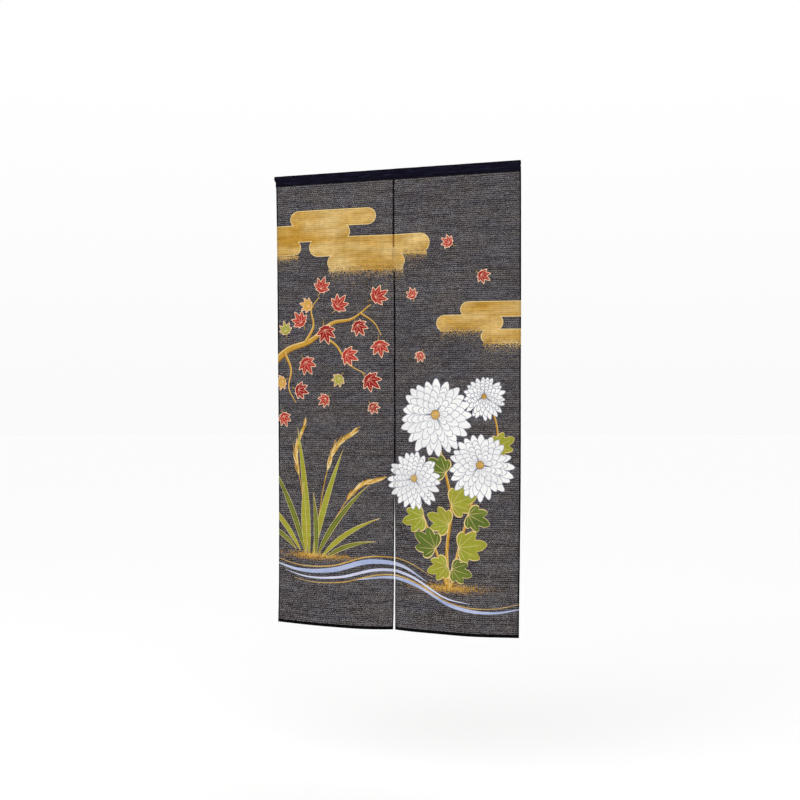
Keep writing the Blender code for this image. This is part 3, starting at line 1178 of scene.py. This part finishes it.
def sleeve_material(sizes, colours):
    """Opaque near-black navy cloth with faint lighter streaks along it as painted highlights,
    and painted shade along its top fold and its lower edge.
    """
    material, tree = new_material("sleeve_navy")
    times = sums(tree)[2]
    place = object_place(tree)
    # painted highlights: lighter streaks along the sleeve where its folds and gathers catch the light
    painted_highlight = remapped(tree, noise_over(tree, place, SLEEVE_HIGHLIGHT_STREAKS, 3.0), *HIGHLIGHT_RANGE)
    highlighted_sleeve = mixed_colour(tree, painted_highlight, colours.sleeve, [HIGHLIGHT_LIGHTNESS * c for c in colours.sleeve])
    up = linked(tree, "ShaderNodeSeparateXYZ", {0: place}).outputs["Z"]
    # painted shade: darker towards the sleeve's top fold
    fold = remapped(tree, up, *(-depth for depth in TOP_SHADE_DEPTHS), 1.0, TOP_FOLD_PAINTED_SHADE)
    # painted shade: darker towards the sleeve's lower edge, where it meets the panels
    edge = remapped(tree, up, *(rise - SLEEVE_HEIGHT for rise in LOWER_SHADE_HEIGHTS), LOWER_EDGE_PAINTED_SHADE, 1.0)
    ribs = linked(tree, "ShaderNodeTexWave", {
        "Vector": place, "Scale": RIB_SCALE / sizes.weft_pitch, "Distortion": 0.6,
        "Detail": 1.0}, bands_direction="Z").outputs["Fac"]
    # the sleeve's colour times the painted shade of its top fold and its lower edge
    shader = matt_shader(tree, toned(tree, highlighted_sleeve, times(fold, edge)), ribs, 0.4, RIB_RELIEF)
    linked(tree, "ShaderNodeOutputMaterial", {"Surface": shader})
    return material


# The sleeve

SECTION_STEPS = (18, 16, 22)   # steps up its flat part, up its flare and over its round part
SLEEVE_STATIONS = 420          # steps along it
TURNED_END = 0.007             # width of its turned-in ends
TURNED_PLIES = 1.6             # thickness there, in plies
WRINKLE_HEIGHT = 0.00045
WRINKLE_DEPTH = -0.3           # where hollows end, as a share of the height
WRINKLES = (
    # waves a metre along the sleeve and up it, share of the height
    (22.0, 330.0, 1.0), (60.0, 500.0, 0.5),
)
GATHER_HEIGHT = 0.00035        # of the cloth drawn up at its rows of stitches
GATHERS = (95.0, 40.0)         # waves a metre along and up
GATHER_REACH = 0.004           # how far gathers run from a row
DENT_DEPTH = 0.0002            # groove into which the thread pulls the cloth
DENT_REACH = 0.0009
STITCH_ROWS = (0.0325, 0.0222) # depths of its rows of stitches


def sleeve_section():
    """(y, z, outward y, outward z) round the ply's middle line, front edge to back edge."""
    flat_steps, flare_steps, arc_steps = SECTION_STEPS
    front = [
        (-PLY_MIDDLE, -SLEEVE_HEIGHT + (SLEEVE_HEIGHT - ROD_PART_LOW) * step / flat_steps)
        for step in range(flat_steps)
    ]
    for step in range(flare_steps):
        share = step / flare_steps
        swell = 0.5 - 0.5 * math.cos(math.pi * share)
        front.append((
            -PLY_MIDDLE - (ROD_PART_RADIUS - PLY_MIDDLE) * swell,
            -ROD_PART_LOW + (ROD_PART_LOW - ROD_PART_CENTRE) * share,
        ))
    arc = []
    for step in range(arc_steps + 1):
        angle = math.pi * (1.0 - step / arc_steps)
        arc.append((
            ROD_PART_RADIUS * math.cos(angle),
            -ROD_PART_CENTRE + ROD_PART_RADIUS * math.sin(angle),
        ))
    line = front + arc + [(-y, z) for y, z in reversed(front)]
    section = []
    for place, (y, z) in enumerate(line):
        before, after = line[max(place - 1, 0)], line[min(place + 1, len(line) - 1)]
        ahead = Vector((after[0] - before[0], after[1] - before[1])).normalized()
        section.append((y, z, -ahead.y, ahead.x))
    return section


def sleeve_surface(along, section_row):
    """A point of the sleeve with its wrinkles, by its share along the length."""
    y, z, out_y, out_z = section_row
    stepped_out = min(1.0, max(0.0, (z + ROD_PART_LOW) / ROD_PART_STEP))
    left = SLEEVE_LEFT_END - ROD_PART_OVERHANG * stepped_out
    x = left + (SLEEVE_RIGHT_END - left) * along

    def ripple(waves_along, waves_up, key):
        return noise.noise(Vector((x * waves_along, key, z * waves_up)))

    face_key = 0.0 if y < 0 else 31.0
    wrinkled = sum(share * ripple(*waves, face_key) for *waves, share in WRINKLES)
    lift = WRINKLE_HEIGHT * max(WRINKLE_DEPTH, wrinkled)
    for row in STITCH_ROWS:
        away = abs(z + row)
        near = math.exp(-away / GATHER_REACH)
        lift += GATHER_HEIGHT * near * ripple(*GATHERS, face_key + row * 900.0)
        lift -= DENT_DEPTH * math.exp(-(away / DENT_REACH) ** 2)
    return Vector((x, y + out_y * lift, z + out_z * lift))


def add_sleeve(sizes, material):
    """The folded strip as a thin closed sheet, with turned-in ends."""
    section = sleeve_section()
    rows = len(section) - 1
    grid = bmesh.new()
    bmesh.ops.create_grid(grid, x_segments=SLEEVE_STATIONS, y_segments=rows, size=0.5)
    for vert in grid.verts:
        vert.co = sleeve_surface(vert.co.x + 0.5, section[round((vert.co.y + 0.5) * rows)])
    bmesh.ops.recalc_face_normals(grid, faces=grid.faces)
    sleeve = placed("sleeve_cloth", finished_mesh("sleeve_cloth", grid), material)
    turned = [
        vert.index for vert in sleeve.data.vertices
        if vert.co.x < SLEEVE_LEFT_END + TURNED_END or vert.co.x > SLEEVE_RIGHT_END - TURNED_END
    ]
    thicken(sleeve, sizes.ply_thickness, TURNED_PLIES * sizes.ply_thickness, turned)
    return sleeve


# Stitches

THREAD_SIDES = 5
STITCH_ENDS = (0.12, 0.88)     # where a stitch starts and ends within its length
# Share of the way along a stitch, its middle's lift and its radius, both in thread radii
STITCH_RINGS = ((0.0, -0.6, 0.5), (0.18, 0.7, 1.0), (0.82, 0.7, 1.0), (1.0, -0.6, 0.5))
SEAM_REACH = 0.0018            # how far a stitch of the seam goes into each panel
SEAM_SLANT = 0.4               # how far it slants down, in stitch lengths
SEAM_END_ROWS = 5              # level stitches where the panels part
SEAM_END_STEP = 0.0005         # from one of these to the next
SEAM_END_REACH = 0.0027        # how far they go into each panel
UNDER_SLEEVE = 0.001           # from the sleeve's edge down to the seam's first stitch
SIDE_INSET = 0.0009            # how much nearer its edge than a side hem's width a side row runs
BOTTOM_INSET = 0.0012          # from the bottom hem's upper edge down to its row
SIDE_ROW_START = 0.002         # from the sleeve's edge down to a side row


def add_stitches(name, runs, sizes, material):
    """Short threads, each given by its two ends and the direction out of the cloth."""
    threads = bmesh.new()
    turns = [2.0 * math.pi * turn / THREAD_SIDES for turn in range(THREAD_SIDES)]
    for start, end, out in runs:
        side = (end - start).normalized().cross(out).normalized()
        rings = []
        for share, lift, size in STITCH_RINGS:
            centre = start.lerp(end, share) + out * lift * sizes.thread_radius
            radius = size * sizes.thread_radius
            rings.append([
                threads.verts.new(centre + radius * (math.cos(turn) * side + math.sin(turn) * out))
                for turn in turns
            ])
        for near, far in zip(rings, rings[1:]):
            for turn in range(THREAD_SIDES):
                after = (turn + 1) % THREAD_SIDES
                threads.faces.new((near[turn], near[after], far[after], far[turn]))
        threads.faces.new(rings[0][::-1])
        threads.faces.new(rings[-1])
    bmesh.ops.recalc_face_normals(threads, faces=threads.faces)
    return placed(name, finished_mesh(name, threads), material)


def rows_on_sleeve(sizes):
    """Both rows of stitches that hold the sleeve to the panels, on its front and its back."""
    count = int((SLEEVE_RIGHT_END - SLEEVE_LEFT_END) / sizes.stitch_length)
    runs = []
    for depth in STITCH_ROWS:
        for face in (-1, 1):
            out = Vector((0.0, face, 0.0))
            section_row = (face * PLY_MIDDLE, -depth, face, 0.0)
            for number in range(1, count - 1):
                start, end = (
                    sleeve_surface((number + share) / count, section_row)
                    + 0.5 * sizes.ply_thickness * out for share in STITCH_ENDS
                )
                runs.append((start, end, out))
    return runs


def both_faces(side, sizes, place):
    """The direction out of a panel's front and of its back at a flat place, and the way from
    the cloth's middle to that face of its hem."""
    out = cloth_normal(side, place.x, -place.y)
    return [(turned, turned * 0.5 * sizes.hem_thickness) for turned in (out, -out)]


def on_cloth(side, place):
    return cloth_point(side, place.x, -place.y)


def whip_stitches(sizes):
    """Slanting stitches on both faces that join the panels down to where they part, with a
    close row of level ones at the end."""
    fall = SEAM_SLANT * sizes.stitch_length
    rows = []
    depth = SLEEVE_HEIGHT + UNDER_SLEEVE
    while depth < SEAM_END - sizes.stitch_length:
        rows.append((depth, fall, SEAM_REACH))
        depth += sizes.stitch_length
    for number in range(SEAM_END_ROWS):
        rows.append((SEAM_END - SEAM_END_STEP * number, 0.0, SEAM_END_REACH))
    runs = []
    for depth, fall, reach in rows:
        start, end = Vector((-reach, -depth)), Vector((reach, -depth - fall))
        for out, lift in both_faces("right", sizes, Vector((reach, -depth))):
            runs.append((on_cloth("left", start) + lift, on_cloth("right", end) + lift, out))
    return runs


def row_on_cloth(side, sizes, first, last):
    """Stitches on both faces of a panel along a straight line on the flat cloth."""
    first, last = Vector(first), Vector(last)
    count = int((last - first).length / sizes.stitch_length)
    runs = []
    for number in range(count):
        start, end = (
            on_cloth(side, first.lerp(last, (number + share) / count)) for share in STITCH_ENDS
        )
        for out, lift in both_faces(side, sizes, first.lerp(last, (number + 0.5) / count)):
            runs.append((start + lift, end + lift, out))
    return runs


def hem_rows(side, sizes):
    """The stitches down both sides of a panel and along its bottom hem."""
    left, right = flat_edges(side)
    left += sizes.side_hem - SIDE_INSET
    right -= sizes.side_hem - SIDE_INSET
    top = -SLEEVE_HEIGHT - SIDE_ROW_START
    low = -CURTAIN_HEIGHT + sizes.bottom_hem - BOTTOM_INSET
    runs = row_on_cloth(side, sizes, (left, low), (right, low))
    for x in (left, right):
        runs += row_on_cloth(side, sizes, (x, top), (x, low))
    return runs


# Stage

CURTAIN_MIDDLE = Vector((0.0, 0.0, -0.5 * CURTAIN_HEIGHT))
PICTURE = 800.0                # pixels across the picture
VIEW_CENTRE = (6.35, -0.96)    # the picture's middle from the curtain's, in pixels
WALL_LIGHT = 1.0               # light of the surround, and of its part next to the floor
HORIZON_LIGHT = 0.955
HORIZON_RISE = 0.25            # sine of the angle up to which the horizon's light runs
FLOOR_GREY = (0.97, 0.97, 0.97, 1.0)
LIGHTS = (
    # name, place, width, power
    ("key", (-1.8, -3.6, 1.2), 2.4, 27.0),
    ("fill", (2.6, -3.2, 0.2), 2.4, 13.5),
)


def aimed(name, data, location, target):
    """A camera or light in its place, turned towards a target."""
    thing = bpy.data.objects.new(name, data)
    bpy.context.scene.collection.objects.link(thing)
    thing.location = location
    thing.rotation_euler = (target - thing.location).to_track_quat("-Z", "Y").to_euler()
    return thing


def add_camera(settings, target):
    camera = bpy.data.cameras.new("camera")
    camera.lens = settings.focal_pixels * camera.sensor_width / PICTURE
    camera.shift_x, camera.shift_y = (shift / PICTURE for shift in VIEW_CENTRE)
    turn = settings.camera_turn
    away = settings.camera_distance * Vector((math.sin(turn), -math.cos(turn), 0.0))
    bpy.context.scene.camera = aimed("camera", camera, target + away, target)


def add_floor(settings):
    ground = bmesh.new()
    bmesh.ops.create_circle(ground, cap_ends=True, segments=96, radius=settings.floor_radius)
    material, tree = new_material("floor_pale")
    shader = linked(tree, "ShaderNodeBsdfPrincipled", {
        "Base Color": FLOOR_GREY, "Roughness": 0.9, "Specular IOR Level": 0.1})
    linked(tree, "ShaderNodeOutputMaterial", {"Surface": shader.outputs[0]})
    floor = placed("floor", finished_mesh("floor", ground), material)
    floor.location.z = -CURTAIN_HEIGHT - settings.floor_drop


def add_studio():
    """A white surround, a little darker near the floor, and the soft lights."""
    world = bpy.data.worlds.new("studio")
    world.use_nodes = True
    tree = world.node_tree
    tree.nodes.clear()
    around_view = linked(tree, "ShaderNodeTexCoord").outputs["Generated"]
    up = linked(tree, "ShaderNodeSeparateXYZ", {0: around_view}).outputs["Z"]
    light = remapped(tree, up, 0.0, HORIZON_RISE, HORIZON_LIGHT, WALL_LIGHT)
    background = linked(tree, "ShaderNodeBackground", {"Color": light})
    linked(tree, "ShaderNodeOutputWorld", {"Surface": background.outputs[0]})
    bpy.context.scene.world = world
    for name, place, width, power in LIGHTS:
        light = bpy.data.lights.new(name, "AREA")
        light.size = width
        light.energy = power
        aimed(name, light, place, CURTAIN_MIDDLE)


class NOREN_OT_stage(bpy.types.Operator):
    """Adds the pale floor, the soft studio light and the camera."""

    bl_idname = "noren.stage"
    bl_label = "Add Stage"

    def execute(self, context):
        settings = context.scene.noren_stage
        add_camera(settings, CURTAIN_MIDDLE)
        add_floor(settings)
        add_studio()
        context.scene.view_settings.view_transform = "Standard"
        # the weave is finer than the denoiser's smoothed guides would keep
        context.scene.cycles.denoising_prefilter = "NONE"
        return {"FINISHED"}


# Pieces

def stitched_on(name, runs, context):
    """A piece of stitches that hangs with the cloth."""
    sizes, colours = context.scene.noren_cloth, context.scene.noren_print
    thread = bpy.data.materials.get("thread_black") or thread_material(colours)
    stitches = add_stitches(name, runs, sizes, thread)
    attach(stitches, "root")
    return stitches


class NOREN_OT_sleeve(bpy.types.Operator):
    """Adds the opaque sleeve for the rod, with its two rows of stitches."""

    bl_idname = "noren.sleeve"
    bl_label = "Add Sleeve"

    def execute(self, context):
        sizes, colours = context.scene.noren_cloth, context.scene.noren_print
        sleeve = add_sleeve(sizes, sleeve_material(sizes, colours))
        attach(sleeve, "root")
        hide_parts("sleeve")
        rows = stitched_on("sleeve_stitches", rows_on_sleeve(sizes), context)
        return {"FINISHED"}


class NOREN_OT_panels(bpy.types.Operator):
    """Adds the two printed panels of sheer cloth, with the stitches of their hems."""

    bl_idname = "noren.panels"
    bl_label = "Add Panels"

    def execute(self, context):
        sizes, colours = context.scene.noren_cloth, context.scene.noren_print
        materials = panel_materials(sizes, colours)
        for side in ("left", "right"):
            panel = add_panel(side, sizes, materials)
            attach(panel, "root")
            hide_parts(side + "_panel")
            hems = stitched_on(side + "_hem_stitches", hem_rows(side, sizes), context)
        return {"FINISHED"}


class NOREN_OT_seam(bpy.types.Operator):
    """Adds the stitches that join the two panels under the sleeve."""

    bl_idname = "noren.seam"
    bl_label = "Add Seam"

    def execute(self, context):
        runs = whip_stitches(context.scene.noren_cloth)
        stitched_on("seam_stitches", runs, context)
        return {"FINISHED"}


class NOREN_PT_sidebar(bpy.types.Panel):
    """Lists the curtain's settings and steps."""

    bl_label = "Noren Curtain"
    bl_idname = "NOREN_PT_sidebar"
    bl_space_type = "VIEW_3D"
    bl_region_type = "UI"
    bl_category = "Noren"

    def draw(self, context):
        layout = self.layout
        for heading, group in (
            ("Cloth", context.scene.noren_cloth),
            ("Print", context.scene.noren_print),
            ("Stage", context.scene.noren_stage),
        ):
            box = layout.box()
            box.label(text=heading)
            for name in group.__annotations__:
                box.prop(group, name)
        for operator in (NOREN_OT_stage, NOREN_OT_sleeve, NOREN_OT_panels, NOREN_OT_seam):
            layout.operator(operator.bl_idname)


CLASSES = (
    NorenClothSettings, NorenPrintSettings, NorenStageSettings,
    NOREN_OT_stage, NOREN_OT_sleeve, NOREN_OT_panels, NOREN_OT_seam, NOREN_PT_sidebar,
)


def register():
    for cls in CLASSES:
        bpy.utils.register_class(cls)
    bpy.types.Scene.noren_cloth = PointerProperty(type=NorenClothSettings)
    bpy.types.Scene.noren_print = PointerProperty(type=NorenPrintSettings)
    bpy.types.Scene.noren_stage = PointerProperty(type=NorenStageSettings)


def unregister():
    for name in ("noren_cloth", "noren_print", "noren_stage"):
        delattr(bpy.types.Scene, name)
    for cls in reversed(CLASSES):
        bpy.utils.unregister_class(cls)


def main():
    register()
    bpy.ops.noren.stage()
    bpy.ops.noren.sleeve()
    bpy.ops.noren.panels()
    bpy.ops.noren.seam()


if __name__ == "__main__":
    main()
